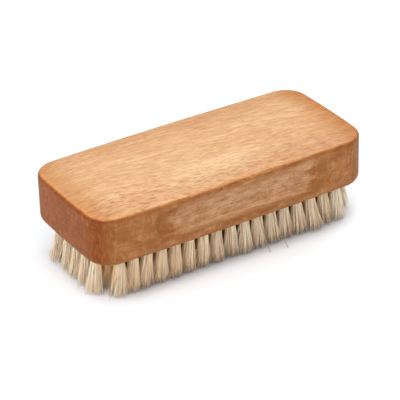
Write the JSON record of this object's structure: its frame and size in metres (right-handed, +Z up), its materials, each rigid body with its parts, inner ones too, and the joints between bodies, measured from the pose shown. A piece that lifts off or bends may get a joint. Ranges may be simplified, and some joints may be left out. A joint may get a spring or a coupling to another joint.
{
  "type": "scrub brush",
  "caption": "Hand and nail scrub brush: a rounded beech block with finger recesses, holding pale natural bristle tufts on flat wire anchors.",
  "frame": {"origin": "middle of the plane of the bristle tips, on which the brush stands", "axes": "+X along the block, +Y across it, +Z up from the bristle tips to the flat back"},
  "size_m": [0.095, 0.042, 0.0285],
  "materials": {
    "beech": "satin",
    "bristle": "matte",
    "anchor_wire": "satin"
  },
  "bodies": {
    "root": {"block": "beech", "tuft_column_01": "bristle", "tuft_column_02": "bristle", "tuft_column_03": "bristle", "tuft_column_04": "bristle", "tuft_column_05": "bristle", "tuft_column_06": "bristle", "tuft_column_07": "bristle", "tuft_column_08": "bristle", "tuft_column_09": "bristle", "tuft_column_10": "bristle", "tuft_column_11": "bristle", "tuft_column_12": "bristle", "tuft_column_13": "bristle", "tuft_column_14": "bristle", "tuft_column_15": "bristle", "tuft_column_16": "bristle", "tuft_column_17": "bristle", "tuft_column_18": "bristle", "tuft_column_19": "bristle", "anchor_column_01": "anchor_wire", "anchor_column_02": "anchor_wire", "anchor_column_03": "anchor_wire", "anchor_column_04": "anchor_wire", "anchor_column_05": "anchor_wire", "anchor_column_06": "anchor_wire", "anchor_column_07": "anchor_wire", "anchor_column_08": "anchor_wire", "anchor_column_09": "anchor_wire", "anchor_column_10": "anchor_wire", "anchor_column_11": "anchor_wire", "anchor_column_12": "anchor_wire", "anchor_column_13": "anchor_wire", "anchor_column_14": "anchor_wire", "anchor_column_15": "anchor_wire", "anchor_column_16": "anchor_wire", "anchor_column_17": "anchor_wire", "anchor_column_18": "anchor_wire", "anchor_column_19": "anchor_wire"}
  },
  "joints": []
}
